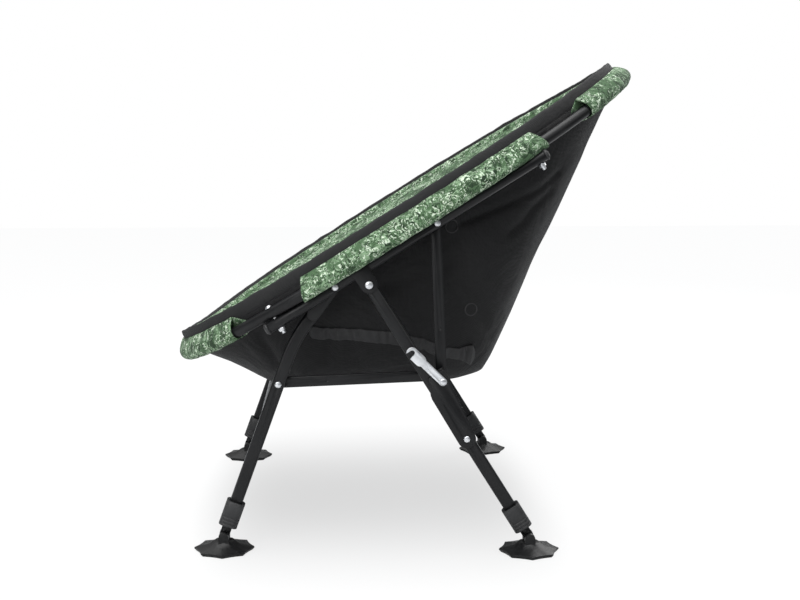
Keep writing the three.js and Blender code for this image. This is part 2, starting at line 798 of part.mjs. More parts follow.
// Lever: a channel round the rear leg that tapers to its pivot, open in front
function lever() {
  const x0 = rail_x - lever_x;
  const x1 = rail_x + lever_x;
  const along = knuckle.clone().sub(lever_pivot).normalize();
  const tip = lever_pivot.clone().addScaledVector(rear_down, -lever_pivot.distanceTo(knuckle));
  const behind = new THREE.Vector2(-rear_down.y, rear_down.x);
  const heel = leg_width / 2 + lever_play;
  const high = tip.clone().addScaledVector(rear_down, -lever_toe);
  const shape = new THREE.Shape();
  const toe_angle = Math.atan2(rear_down.y, rear_down.x);
  const back_high = high.clone().addScaledVector(behind, lever_top_width - heel - lever_lip);
  const front_high = high
    .clone()
    .addScaledVector(rear_down, lever_shoulder)
    .addScaledVector(behind, -heel - lever_lip);
  shape.absarc(
    lever_pivot.x,
    lever_pivot.y,
    lever_toe,
    toe_angle - Math.PI / 2,
    toe_angle + Math.PI / 2,
    false,
  );
  shape.lineTo(back_high.x, back_high.y);
  shape.lineTo(high.x, high.y);
  shape.lineTo(front_high.x, front_high.y);
  shape.closePath();
  const walls = sidePlate(shape, x0, x1);
  const web_low = lever_pivot.clone().addScaledVector(along, lever_web_start);
  const hollow_shape = new THREE.Shape();
  const wall_back = lever_top_width - heel - lever_lip - lever_wall;
  const far = lever_top_width * 2;
  const hollow = [
    high.clone().addScaledVector(rear_down, -far).addScaledVector(behind, -far),
    lever_pivot.clone().addScaledVector(rear_down, far).addScaledVector(behind, -far),
    lever_pivot.clone().addScaledVector(rear_down, far).addScaledVector(behind, far),
    web_low.clone().addScaledVector(behind, far),
    web_low.clone().addScaledVector(behind, heel),
    high.clone().addScaledVector(behind, wall_back),
    high.clone().addScaledVector(rear_down, -far).addScaledVector(behind, wall_back),
  ];
  hollow_shape.setFromPoints(hollow);
  const inside = sidePlate(hollow_shape, x0 + lever_wall, x1 - lever_wall);
  const holes = [lever_pivot, knuckle].map((p) =>
    crossBar(rivet_diameter + 2 * running, x0 - overrun, x1 + overrun, p),
  );
  return cut(walls, inside, ...holes);
}

// Latch link: a flat bar on the knuckle pin, with an open hook over the leg's stud
const link_x0 = rail_x + lever_x + gap;
const link_x1 = link_x0 + link_thickness;
function latchLink() {
  const bar = sidePlate(linkShape(knuckle, latch, link_width / 2), link_x0, link_x1);
  const head = sidePlate(linkShape(latch, latch.clone().lerp(knuckle, link_head / knuckle.distanceTo(latch)), link_head / 2), link_x0, link_x1);
  const hole = crossBar(rivet_diameter + 2 * running, link_x0 - overrun, link_x1 + overrun, knuckle);
  const open = new THREE.Vector2(-Math.cos(rad(latch_mouth)), -Math.sin(rad(latch_mouth)));
  const mouth = sidePlate(
    linkShape(
      latch,
      latch.clone().addScaledVector(open, link_head),
      rivet_diameter / 2 + 2 * running,
      link_head * mouth_flare_share,
    ),
    link_x0 - overrun,
    link_x1 + overrun,
  );
  return cut(join(bar, head), hole, mouth);
}

// Bucket: slices parallel to the hoop, each an egg whose reach follows the side view
const rim_inset = hoop_diameter / 2 + gap;
function frontAlong(depth) {
  const rim = -hoop_front_reach + rim_inset;
  if (depth <= bucket_front_depth)
    return THREE.MathUtils.lerp(rim, bucket_front_along, depth / bucket_front_depth);
  if (depth <= bucket_seat_depth)
    return THREE.MathUtils.mapLinear(
      depth,
      bucket_front_depth,
      bucket_seat_depth,
      bucket_front_along,
      bucket_seat_along,
    );
  return THREE.MathUtils.mapLinear(
    depth,
    bucket_seat_depth,
    bucket_depth,
    bucket_seat_along,
    bucket_deepest,
  );
}
function rearAlong(depth) {
  const rim = hoop_rear_reach - rim_inset;
  return THREE.MathUtils.lerp(rim, bucket_deepest, depth / bucket_depth);
}
function halfWidth(depth) {
  const rim = hoop_half_width - rim_inset;
  if (depth < bucket_side_drop)
    return THREE.MathUtils.lerp(rim, bucket_half_width, Math.max(0, depth) / bucket_side_drop);
  const share = Math.min(1, (depth - bucket_side_drop) / (bucket_depth - bucket_side_drop));
  return bucket_half_width * (1 - share ** bucket_side_power) ** (1 / bucket_side_power);
}

// A bowl between an outer and an inner skin, drawn as a unit lathe whose rings are moved to the slices.
function bowl(outer_rows, inner_rows, sides, shapeRow) {
  const rows = [...outer_rows, ...inner_rows, outer_rows[0]];
  const geometry = new THREE.LatheGeometry(
    rows.map((row, i) => new THREE.Vector2(row.closed ? 0 : 1, i)),
    sides,
  );
  const p = geometry.attributes.position;
  for (let i = 0; i <= sides; i++)
    for (let j = 0; j < rows.length; j++) {
      const angle = (i % sides) * ((2 * Math.PI) / sides);
      const at = shapeRow(rows[j], angle);
      p.setXYZ(i * rows.length + j, at.x, at.y, at.z);
    }
  geometry.computeVertexNormals();
  return geometry;
}
function sliceRow(row, angle) {
  const depth = Math.max(0, row.depth);
  const front = frontAlong(depth);
  const rear = rearAlong(depth);
  const middle = THREE.MathUtils.lerp(0, bucket_deepest, depth / bucket_depth);
  const inset = row.inset;
  const p = hoopPoint(
    angle,
    Math.max(0, halfWidth(depth) - inset),
    Math.max(0, middle - front - inset),
    Math.max(0, rear - middle - inset),
    hoop_front_power,
    hoop_rear_power,
  );
  const height = hoop_rise - row.depth + (row.lift || 0);
  if (row.closed) return new THREE.Vector3(0, hoop_middle + middle, height);
  return new THREE.Vector3(p.x, hoop_middle + middle + p.y, height);
}
const rim_lift = 8; // the cloth's edge above the hoop's centre line
const bucket_shares = [0.0001, 0.022, 0.045, 0.13, 0.26, 0.42, 0.58, 0.74, 0.88, 0.96];
function slingRows(inset, drop) {
  const rows = bucket_shares.map((share) => ({
    depth: share * (bucket_depth - drop),
    inset,
    lift: edgeLift(share),
  }));
  rows.push({ depth: bucket_depth - drop, inset, closed: true });
  return rows;
}
function sling() {
  const outer = slingRows(0, 0);
  const inner = slingRows(cloth, cloth).reverse();
  const skin = bowl(outer, inner, cloth_sides, sliceRow);
  return cut(skin, hoopTube(hoop_diameter / 2 + sleeve_wall + 2 * gap));
}

// Padded liner: lies in the bucket, rolls over its edge, and swells between its sewn channels
function edgeLift(share) {
  return Math.max(0, rim_lift * (1 - (share * bucket_depth) / bucket_side_drop));
}
function liner() {
  const under = cloth + 2 * gap;
  const outer = bucket_shares.map((share) => ({
    depth: share * (bucket_depth - 2 * under),
    inset: under,
    lift: edgeLift(share) + under - gap,
  }));
  outer.push({ depth: bucket_depth - 2 * under, inset: under, closed: true, lift: under });
  const deepest = bucket_depth - under - pad_thickness;
  const inner = [];
  for (let i = 1; i < 2 * pad_channels; i++) {
    const seam = i % 2 ? 0 : pad_channel_depth;
    const share = i / (2 * pad_channels);
    inner.unshift({ depth: share * deepest + seam, inset: under + pad_thickness - seam });
  }
  const floor = { depth: deepest + pad_channel_depth, inset: 0, closed: true };
  const roll = [
    { depth: 0, inset: under + pad_thickness, lift: pad_rise - gap },
    { depth: 0, inset: under + pad_thickness / 2, lift: pad_rise + gap },
    { depth: 0, inset: under - gap, lift: pad_rise - gap },
  ];
  return bowl(outer, [floor, ...inner, ...roll], cloth_sides, sliceRow);
}

// Put together: the seat frame first
bothSides(seatFrame, "rail", rail(), blackMetal);
bothSides(seatFrame, "rail_cap_front", railCap(-1, 0), blackPlastic);
bothSides(seatFrame, "rail_cap_rear", railCap(1, rail_length), blackPlastic);
const bolt_holes = [clamp_front, clamp_rear].flatMap((along) =>
  [-1, 1].map((side) =>
    new THREE.CylinderGeometry(
      bolt_diameter / 2 + running,
      bolt_diameter / 2 + running,
      hoop_diameter + 2 * overrun,
      small_round,
    )
      .rotateX(Math.PI / 2)
      .translate(side * rail_x, along, hoop_rise),
  ),
);
place(seatFrame, "hoop", cut(hoopTube(hoop_diameter / 2), ...bolt_holes), blackMetal);
bothSides(seatFrame, "clamp_bolt_front", clampBolt(clamp_front), zinc);
bothSides(seatFrame, "clamp_bolt_rear", clampBolt(clamp_rear), zinc);
bothSides(seatFrame, "rear_leg_saddle", saddle(), blackMetal);

const eyelet = new THREE.CylinderGeometry(
  bolt_head_diameter / 2 + gap,
  bolt_head_diameter / 2 + gap,
  2 * hoop_diameter + overrun,
  small_round,
)
  .rotateX(Math.PI / 2)
  .translate(rail_x, clamp_rear, hoop_rise);
const hoop_room = 2 * hoop_half_width; // more than the hoop's own room
const cap_room = new THREE.CylinderGeometry(
  rail_diameter / 2 + cap_rim + gap,
  rail_diameter / 2 + cap_rim + gap,
  4 * cap_head,
  round,
).translate(rail_x, rail_length + 2 * cap_head, 0);
const rail_room = new THREE.CylinderGeometry(
  rail_diameter / 2 + gap,
  rail_diameter / 2 + gap,
  rail_length,
  round,
).translate(rail_x, rail_length / 2, 0);
const side_sleeve = cut(
  sleeve(0, hoop_room, clamp_front + side_sleeve_front_room, clamp_rear + side_sleeve_rear_lap),
  eyelet,
  rail_room,
  cap_room,
);
bothSides(seatFrame, "side_sleeve", side_sleeve, leafCloth);
place(
  seatFrame,
  "front_sleeve",
  sleeve(-hoop_room, hoop_room, hoop_middle - 2 * hoop_front_reach, clamp_front - front_sleeve_room),
  leafCloth,
);
place(
  seatFrame,
  "rear_sleeve",
  sleeve(-hoop_room, hoop_room, clamp_rear + rear_sleeve_room, hoop_middle + 2 * hoop_rear_reach),
  leafCloth,
);
place(seatFrame, "seat_sling", sling(), blackCloth);
place(seatFrame, "seat_pad", liner(), leafCloth);

const rail_out = rail_x + rail_diameter / 2;
const rail_in = rail_x - rail_diameter / 2;
bothSides(
  chair,
  "front_leg_rivet",
  rivet(front_pivot, yoke_x0, rail_out, [yoke_x0 + plate + gap, rail_in - gap]),
  zinc,
);
bothSides(
  chair,
  "post_rivet",
  rivet(post_pivot, post_x0, rail_out, [post_x1 + gap, rail_in - gap]),
  zinc,
);

// Front legs
bothSides(chair, "front_leg", frontLeg(), blackMetal);
bothSides(chair, "front_yoke", yoke(), blackMetal);
bothSides(chair, "brace_rivet", rivet(brace_pivot, brace_x0, front_leg_x + leg_depth / 2), zinc);
const collar_drop = collar_foot_rise + collar_height;
const footing = [
  { name: "front", x: front_leg_x, pivot: front_foot, down: front_down },
  { name: "rear", x: rail_x, pivot: rear_foot, down: rear_down },
];
for (const { name, x, pivot, down } of footing) {
  const up = -collar_drop;
  bothSides(chair, name + "_collar", alongLeg(collar(), x, pivot, down, up), blackPlastic);
  bothSides(chair, name + "_stem", alongLeg(stem(), x, pivot, down, up), blackMetal);
  bothSides(chair, name + "_foot", foot().translate(x, pivot.x, 0), rubber);
}
place(chair, "front_cross_rod", crossRod(front_leg_x, front_rod), zinc);
place(chair, "rear_cross_rod", crossRod(rail_x, rear_rod), zinc);

// Linkage
bothSides(
  chair,
  "brace",
  join(
    foldedBar(brace_pivot, knuckle, brace_height, brace_x0, brace_x1, brace_dimple_share),
    crossBar(rivet_head_diameter, brace_x0, post_x0 - gap, knuckle),
  ),
  blackMetal,
);
bothSides(
  chair,
  "post",
  foldedBar(post_pivot, knuckle, post_width, post_x0, post_x1, post_dimple_share),
  blackMetal,
);
bothSides(chair, "rear_leg", rearLeg(), blackMetal);
bothSides(chair, "lever_rivet", rivet(lever_pivot, rail_x - lever_x, rail_x + lever_x), zinc);
bothSides(chair, "lever", lever(), blackMetal);
bothSides(
  chair,
  "knuckle_pin",
  rivet(knuckle, rail_x - lever_x, link_x1),
  zinc,
);
bothSides(chair, "latch_link", latchLink(), zinc);

export default chair;
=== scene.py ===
# %% [markdown]
# # A folding bank-side chair
# A padded bucket hangs in a steel hoop, the hoop is bolted on two sloping rails, and four legs
# fold up behind it on levers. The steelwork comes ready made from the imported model. What is made
# here is the cloth: the black bucket, the quilted liner, its edging and the printed sleeves.

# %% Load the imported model
import math

import bmesh
import bpy
from mathutils import Matrix, Vector, noise


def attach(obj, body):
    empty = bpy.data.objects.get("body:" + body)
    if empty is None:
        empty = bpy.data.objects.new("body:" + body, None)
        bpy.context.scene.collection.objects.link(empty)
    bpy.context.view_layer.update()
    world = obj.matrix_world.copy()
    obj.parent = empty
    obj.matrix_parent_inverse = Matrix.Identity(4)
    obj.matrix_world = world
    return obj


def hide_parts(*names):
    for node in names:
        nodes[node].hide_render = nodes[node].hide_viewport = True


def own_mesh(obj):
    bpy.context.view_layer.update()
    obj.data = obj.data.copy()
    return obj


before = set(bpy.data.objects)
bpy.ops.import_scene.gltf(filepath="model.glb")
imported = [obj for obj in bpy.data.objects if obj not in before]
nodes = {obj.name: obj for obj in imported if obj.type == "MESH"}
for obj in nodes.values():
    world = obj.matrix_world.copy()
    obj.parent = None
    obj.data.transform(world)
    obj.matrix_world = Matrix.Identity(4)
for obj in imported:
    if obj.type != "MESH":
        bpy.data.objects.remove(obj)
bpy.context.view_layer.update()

# %% [markdown]
# The world, the floor and every finish are trees of nodes. These helpers add the nodes that come
# back often. An input of theirs is a plain value or the output of another node.

# %% Node helpers
def put(tree, value, socket):
    if isinstance(value, bpy.types.NodeSocket):
        tree.links.new(value, socket)
    else:
        socket.default_value = value


def maths(tree, operation, *values):
    node = tree.nodes.new("ShaderNodeMath")
    node.operation = operation
    for value, socket in zip(values, node.inputs):
        put(tree, value, socket)
    return node.outputs[0]


def map_range(tree, value, low, high, to_low=0.0, to_high=1.0):
    node = tree.nodes.new("ShaderNodeMapRange")
    ends = {"From Min": low, "From Max": high, "To Min": to_low, "To Max": to_high}
    for label, end in ends.items():
        node.inputs[label].default_value = end
    tree.links.new(value, node.inputs["Value"])
    return node.outputs["Result"]


def blend(tree, share, under, over):
    """Lays one colour over another by a share. A colour is an output or three numbers."""
    node = tree.nodes.new("ShaderNodeMix")
    node.data_type = "RGBA"
    put(tree, share, node.inputs["Factor"])
    for label, color in (("A", under), ("B", over)):
        put(tree, (*color, 1) if isinstance(color, tuple) else color, node.inputs[label])
    return node.outputs["Result"]


def noise_texture(tree, vector, scale, detail=3.0, roughness=0.55, distortion=0.0):
    node = tree.nodes.new("ShaderNodeTexNoise")
    tree.links.new(vector, node.inputs["Vector"])
    put(tree, scale, node.inputs["Scale"])
    node.inputs["Detail"].default_value = detail
    node.inputs["Roughness"].default_value = roughness
    node.inputs["Distortion"].default_value = distortion
    return node.outputs["Fac"]


# %% [markdown]
# Every mesh made here starts as a bmesh, and becomes an object at the scene's origin, so that its
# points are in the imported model's own place and size.

# %% Mesh helper
def object_from(bm, name, smooth=True):
    mesh = bpy.data.meshes.new(name)
    bm.to_mesh(mesh)
    bm.free()
    for polygon in mesh.polygons:
        polygon.use_smooth = smooth
    piece = bpy.data.objects.new(name, mesh)
    bpy.context.scene.collection.objects.link(piece)
    return piece


# %% [markdown]
# The photo is a side view from the sitter's left, a little above the seat. The camera was placed
# from lines that run across the chair and from the height of the feet, so it is set by its right,
# up and view directions and not by angles.

# %% Camera
camera_place = Vector((2.10609, -0.108, 0.60001))
view_direction = Vector((-0.99038, 0.04943, -0.12923)).normalized()
right_direction = Vector((0.04985, 0.99876, 0.0)).normalized()
up_direction = right_direction.cross(view_direction)
lens_data = bpy.data.cameras.new("camera")
lens_data.lens = 59.04
lens_data.sensor_width = 36.0
lens_data.clip_start = 0.05
camera = bpy.data.objects.new("camera", lens_data)
bpy.context.scene.collection.objects.link(camera)
turn = Matrix((right_direction, up_direction, -view_direction)).transposed().to_4x4()
camera.matrix_world = Matrix.Translation(camera_place) @ turn
bpy.context.scene.camera = camera
bpy.context.scene.view_settings.view_transform = "Standard"
print("camera", [round(number, 3) for number in camera_place], "lens", lens_data.lens)

# %% [markdown]
# The light is a studio's: a large soft lamp above, one from the camera's side and a weak one
# behind.

# %% Lamps
seat_middle = Vector((0.0, 0.0, 0.38))


def soft_lamp(name, place, size, power):
    data = bpy.data.lights.new(name, "AREA")
    data.size = size
    data.energy = power
    lamp = bpy.data.objects.new(name, data)
    bpy.context.scene.collection.objects.link(lamp)
    lamp.location = place
    lamp.rotation_euler = (seat_middle - Vector(place)).to_track_quat("-Z", "Y").to_euler()


soft_lamp("lamp_above", (0.3, -0.3, 2.6), size=2.4, power=62)
soft_lamp("lamp_side", (2.4, -1.3, 1.5), size=1.8, power=42)
soft_lamp("lamp_back", (-1.6, 1.6, 1.6), size=1.6, power=22)

# %% [markdown]
# The world shows three faces. The camera sees plain white. Reflections see a room that is dim at
# the horizon and bright overhead, which gives the dark tubes their light edges. All other rays
# get a weak, slightly cool light.

# %% World
horizon_height, overhead_height = 0.35, 0.75
horizon_strength, overhead_strength = 0.2, 1.9
ambient_strength = 0.42

world = bpy.data.worlds.new("studio")
world.use_nodes = True
bpy.context.scene.world = world
tree = world.node_tree
tree.nodes.clear()


def background(color, strength):
    node = tree.nodes.new("ShaderNodeBackground")
    node.inputs["Color"].default_value = (*color, 1)
    put(tree, strength, node.inputs["Strength"])
    return node.outputs[0]


def either(second, first_shader, second_shader):
    node = tree.nodes.new("ShaderNodeMixShader")
    for value, socket in zip((second, first_shader, second_shader), node.inputs):
        tree.links.new(value, socket)
    return node.outputs[0]


ray = tree.nodes.new("ShaderNodeLightPath").outputs
direction = tree.nodes.new("ShaderNodeSeparateXYZ")
tree.links.new(tree.nodes.new("ShaderNodeTexCoord").outputs["Generated"], direction.inputs[0])
room_strength = map_range(
    tree,
    direction.outputs["Z"],
    horizon_height,
    overhead_height,
    horizon_strength,
    overhead_strength,
)
ambient = background((0.9, 0.95, 1.0), ambient_strength)
room = background((0.8, 0.8, 0.8), room_strength)
backdrop = background((1.0, 1.0, 1.0), 1.0)
straight = maths(tree, "MAXIMUM", ray["Is Camera Ray"], ray["Is Transmission Ray"])
unseen = either(ray["Is Glossy Ray"], ambient, room)
out = tree.nodes.new("ShaderNodeOutputWorld")
tree.links.new(either(straight, unseen, backdrop), out.inputs[0])

# %% [markdown]
# Two effects serve more than one finish. "woven" gives the tiny over and under of cloth as a
# height, from three crossed waves. "mottle" gives a soft unevenness of colour and gloss. Each is a
# node group with a size of its own, so a finish takes it in with one line.

# %% Shared effects
def new_group(name, size_label, result_label):
    group = bpy.data.node_groups.new(name, "ShaderNodeTree")
    group.interface.new_socket("Vector", in_out="INPUT", socket_type="NodeSocketVector")
    group.interface.new_socket(size_label, in_out="INPUT", socket_type="NodeSocketFloat")
    group.interface.new_socket(result_label, in_out="OUTPUT", socket_type="NodeSocketFloat")
    given = group.nodes.new("NodeGroupInput").outputs
    return group, given["Vector"], given[size_label], group.nodes.new("NodeGroupOutput").inputs[0]


def effect(tree, group, vector, size):
    node = tree.nodes.new("ShaderNodeGroup")
    node.node_tree = group
    tree.links.new(vector, node.inputs[0])
    node.inputs[1].default_value = size
    return node.outputs[0]


woven, vector, threads, result = new_group("woven", "Threads", "Height")
waves = []
for way in ("X", "Y", "Z"):
    wave = woven.nodes.new("ShaderNodeTexWave")
    wave.bands_direction = way
    wave.inputs["Distortion"].default_value = 0.6
    woven.links.new(vector, wave.inputs["Vector"])
    woven.links.new(threads, wave.inputs["Scale"])
    waves.append(wave.outputs["Fac"])
crossed = maths(woven, "ADD", waves[0], waves[1])
woven.links.new(maths(woven, "ADD", crossed, waves[2]), result)

mottle, vector, size, result = new_group("mottle", "Scale", "Mask")
soft = noise_texture(mottle, vector, size, detail=4.0)
mottle.links.new(map_range(mottle, soft, low=0.3, high=0.7), result)

# %% [markdown]
# The photo's floor is white paper with one soft grey shade between the feet, the same all along
# the chair and fading towards the camera and away from it. To the camera the floor is mostly that
# shade, and a little of the real shadows lies over it; to all other rays it is pale paper.

# %% Floor
floor_half = 6.0
paper_light = 0.94
shade_depth = 0.28
shade_across = {"middle": -0.01, "reach": 0.36, "power": 2.2}
shade_lengthways = {"middle": -0.045, "reach": 0.258, "power": 8.0}
paper_gray, paper_gray_seen = (0.75, 0.75, 0.75), (0.09, 0.09, 0.09)

bm = bmesh.new()
bmesh.ops.create_grid(bm, x_segments=1, y_segments=1, size=floor_half)
floor = object_from(bm, "studio_floor", smooth=False)
floor_finish = bpy.data.materials.new("floor paper")
floor_finish.use_nodes = True
tree = floor_finish.node_tree
paper = tree.nodes["Principled BSDF"].inputs
paper["Roughness"].default_value = 0.9
paper["Specular IOR Level"].default_value = 0.0
paper["Emission Color"].default_value = (1, 1, 1, 1)
to_camera = tree.nodes.new("ShaderNodeLightPath").outputs["Is Camera Ray"]
spot = tree.nodes.new("ShaderNodeSeparateXYZ")
tree.links.new(tree.nodes.new("ShaderNodeTexCoord").outputs["Object"], spot.inputs[0])


def spread_of(value, middle, reach, power):
    """A distance from the shade's middle, as a share of its reach, to a power."""
    away = maths(tree, "ABSOLUTE", maths(tree, "SUBTRACT", value, middle))
    return maths(tree, "POWER", maths(tree, "DIVIDE", away, reach), power)


across = spread_of(spot.outputs["X"], **shade_across)
lengthways = spread_of(spot.outputs["Y"], **shade_lengthways)
falling = maths(tree, "MULTIPLY", maths(tree, "ADD", across, lengthways), -1.0)
shade = maths(tree, "MULTIPLY", maths(tree, "EXPONENT", falling), shade_depth)
white = maths(tree, "SUBTRACT", paper_light, shade)
tree.links.new(maths(tree, "MULTIPLY", white, to_camera), paper["Emission Strength"])
tree.links.new(blend(tree, to_camera, paper_gray, paper_gray_seen), paper["Base Color"])
floor.data.materials.append(floor_finish)

# %% [markdown]
# Every finish starts from the same three nodes: the piece's own coordinates, a soft mottle, and a
# colour that runs between two close tones. What differs is written in each finish's own cell.

# %% Finish helper
def finish(name, dark, light, roughness, metallic=0.0, mottle_scale=18.0, spread=0.08):
    material = bpy.data.materials.new(name)
    material.use_nodes = True
    tree = material.node_tree
    shader = tree.nodes["Principled BSDF"].inputs
    place = tree.nodes.new("ShaderNodeTexCoord").outputs["Object"]
    mask = effect(tree, mottle, place, mottle_scale)
    tree.links.new(blend(tree, mask, dark, light), shader["Base Color"])
    gloss = maths(tree, "MULTIPLY_ADD", mask, spread, roughness - spread / 2)
    tree.links.new(gloss, shader["Roughness"])
    shader["Metallic"].default_value = metallic
    return material, tree, shader, place


def bump(tree, shader, height, strength, distance, under=None):
    """Turns a height into dents of the surface, on top of those under it."""
    node = tree.nodes.new("ShaderNodeBump")
    node.inputs["Strength"].default_value = strength
    node.inputs["Distance"].default_value = distance
    tree.links.new(height, node.inputs["Height"])
    if under is not None:
        tree.links.new(under, node.inputs["Normal"])
    tree.links.new(node.outputs["Normal"], shader["Normal"])
    return node.outputs["Normal"]


# %% [markdown]
# The tubes are powder coated: near black, satin, with the fine orange-peel skin of baked powder.

# %% Powder coat
powder_coat, tree, shader, place = finish(
    "black powder coat",
    (0.0052, 0.0054, 0.006),
    (0.0095, 0.0098, 0.0105),
    roughness=0.34,
    spread=0.1,
)
shader["Specular IOR Level"].default_value = 0.26
peel = noise_texture(tree, place, scale=900.0, detail=2.0)
bump(tree, shader, peel, strength=0.25, distance=0.0004)

# %% [markdown]
# Caps and collars are moulded plastic, a shade lighter and duller than the coat, with a grain like
# fine leather. The feet are of a darker and coarser kind.

# %% Moulded plastic
collar_plastic, tree, shader, place = finish(
    "moulded black plastic",
    (0.013, 0.0133, 0.014),
    (0.024, 0.0245, 0.0255),
    roughness=0.5,
)
grain = noise_texture(tree, place, scale=1300.0)
bump(tree, shader, grain, strength=0.35, distance=0.0004)

foot_plastic, tree, shader, place = finish(
    "moulded foot",
    (0.0045, 0.0046, 0.005),
    (0.0105, 0.0106, 0.011),
    roughness=0.38,
    mottle_scale=30.0,
)
shader["Specular IOR Level"].default_value = 0.3
grain = noise_texture(tree, place, scale=900.0)
bump(tree, shader, grain, strength=0.4, distance=0.0005)

# %% [markdown]
# Rivets, bolts, links and the rods are zinc plated: bright, a little clouded, with drawn lines.

# %% Zinc
zinc_plate, tree, shader, place = finish(
    "zinc plate",
    (0.58, 0.6, 0.63),
    (0.78, 0.79, 0.8),
    roughness=0.3,
    metallic=0.9,
    mottle_scale=90.0,
)
lines = noise_texture(tree, place, scale=500.0, detail=2.0, distortion=0.4)
bump(tree, shader, lines, strength=0.15, distance=0.0003)

# %% [markdown]
# The bucket is coated black cloth. It has a sheen at grazing angles, a close weave and the
# broad soft unevenness that a stretched cloth shows. Its edge tape and its gathered hems are cut
# from duller cloth.

# %% Black cloth
black_cloth, tree, shader, place = finish(
    "black woven cloth",
    (0.0056, 0.0056, 0.006),
    (0.0105, 0.0105, 0.011),
    roughness=0.62,
    mottle_scale=9.0,
)
shader["Specular IOR Level"].default_value = 0.2
shader["Sheen Weight"].default_value = 0.02
shader["Sheen Roughness"].default_value = 0.35
slack = noise_texture(tree, place, scale=16.0, detail=4.0, roughness=0.5, distortion=0.8)
slack_normal = bump(tree, shader, slack, strength=0.8, distance=0.008)
weave = effect(tree, woven, place, 170.0)
bump(tree, shader, weave, strength=0.35, distance=0.0005, under=slack_normal)

edge_tape, tree, shader, place = finish(
    "black edge tape",
    (0.0065, 0.0066, 0.007),
    (0.013, 0.013, 0.014),
    roughness=0.8,
    mottle_scale=25.0,
)
weave = effect(tree, woven, place, 260.0)
bump(tree, shader, weave, strength=0.5, distance=0.0006)

hem_cloth, tree, shader, place = finish(
    "black gathered hem",
    (0.0075, 0.0075, 0.008),
    (0.017, 0.017, 0.018),
    roughness=0.7,
    mottle_scale=60.0,
)
puckers = noise_texture(tree, place, scale=120.0)
bump(tree, shader, puckers, strength=0.6, distance=0.0015)

# %% [markdown]
# The print is a camouflage of the general kind: a dark ground, middle green patches with ragged
# edges, and pale lichen-like flecks. Each layer is a noise cut off sharply, and the pale ones only
# come where a broad noise lets them, which gives the clumps.

# %% Camouflage print
patch_green = (0.064, 0.122, 0.058)
fleck_green = (0.225, 0.345, 0.205)
curl_pale = (0.60, 0.70, 0.55)
twig_dark = (0.017, 0.036, 0.017)

camo_cloth, tree, shader, place = finish(
    "green camouflage cloth",
    (0.019, 0.039, 0.018),
    (0.032, 0.062, 0.030),
    roughness=0.88,
    mottle_scale=40.0,
)
shader["Specular IOR Level"].default_value = 0.2
shader["Sheen Weight"].default_value = 0.04
shader["Sheen Roughness"].default_value = 0.6


def cut_off(low, high, scale, detail=5.0, roughness=0.65, distortion=0.6):
    texture = noise_texture(tree, place, scale, detail, roughness, distortion)
    return map_range(tree, texture, low, high)


patches = cut_off(low=0.45, high=0.5, scale=62.0)
flecks = cut_off(low=0.50, high=0.545, scale=105.0, detail=7.0, roughness=0.72, distortion=1.6)
clumps = cut_off(low=0.40, high=0.54, scale=34.0)
curls = cut_off(low=0.555, high=0.58, scale=88.0, detail=4.0, roughness=0.6, distortion=3.0)
twigs = cut_off(low=0.6, high=0.63, scale=90.0, detail=3.0, roughness=0.5, distortion=2.5)
printed = shader["Base Color"].links[0].from_socket
printed = blend(tree, patches, printed, patch_green)
printed = blend(tree, maths(tree, "MULTIPLY", flecks, clumps), printed, fleck_green)
printed = blend(tree, maths(tree, "MULTIPLY", curls, clumps), printed, curl_pale)
printed = blend(tree, twigs, printed, twig_dark)
tree.links.new(printed, shader["Base Color"])
weave = effect(tree, woven, place, 230.0)
bump(tree, shader, weave, strength=0.35, distance=0.0005)
print("cloths", [cloth.name for cloth in (black_cloth, edge_tape, hem_cloth, camo_cloth)])

# %% [markdown]
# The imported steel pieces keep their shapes. A Weld joins their loose triangles, and a Bevel with
# hardened normals rounds the sharp edges and leaves the flats flat, as on pressed parts.

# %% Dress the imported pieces
weld_reach = 0.00002
sharp_angle = math.radians(38)


def dress(name, material, edge_width):
    piece = nodes[name]
    piece.data.materials.clear()
    piece.data.materials.append(material)
    for polygon in piece.data.polygons:
        polygon.material_index = 0
        polygon.use_smooth = True
    weld = piece.modifiers.new("weld", "WELD")
    weld.merge_threshold = weld_reach
    bevel = piece.modifiers.new("bevel", "BEVEL")
    bevel.width = edge_width
    bevel.segments = 2
    bevel.limit_method = "ANGLE"
    bevel.angle_limit = sharp_angle
    bevel.harden_normals = True
    bevel.use_clamp_overlap = True


def both(*stems):
    return [stem + side for stem in stems for side in ("_left", "_right")]


coated = both(
    "rail", "rear_leg_saddle", "front_leg", "front_yoke", "rear_leg",
    "brace", "post", "lever", "front_stem", "rear_stem",
)
moulded = both("rail_cap_front", "rail_cap_rear", "front_collar", "rear_collar")
plated = both(
    "clamp_bolt_front", "clamp_bolt_rear", "front_leg_rivet", "post_rivet",
    "brace_rivet", "lever_rivet", "knuckle_pin", "latch_link",
) + ["front_cross_rod", "rear_cross_rod"]
feet = both("front_foot", "rear_foot")
for names, material, edge_width in (
    (coated, powder_coat, 0.0006),
    (moulded, collar_plastic, 0.0008),
    (plated, zinc_plate, 0.0004),
    (feet, foot_plastic, 0.0012),
):
    for name in names:
        dress(name, material, edge_width)
print("dressed", len(coated + moulded + plated + feet), "packed pieces")

# %% [markdown]
# The rear legs' rivets are zinc plated like the others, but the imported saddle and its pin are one
# piece, so a domed cap is set on each end of the pin.

# %% Saddle rivets
cap_radius, cap_height, cap_sunk = 0.0056, 0.0018, 0.0004
saddle_pin_y, saddle_pin_z = -0.06113, 0.38683
saddle_outer, saddle_inner = 0.31255, 0.28745


def outfit(piece, material):
    piece.data.materials.append(material)
    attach(piece, "seat_frame")
    return piece


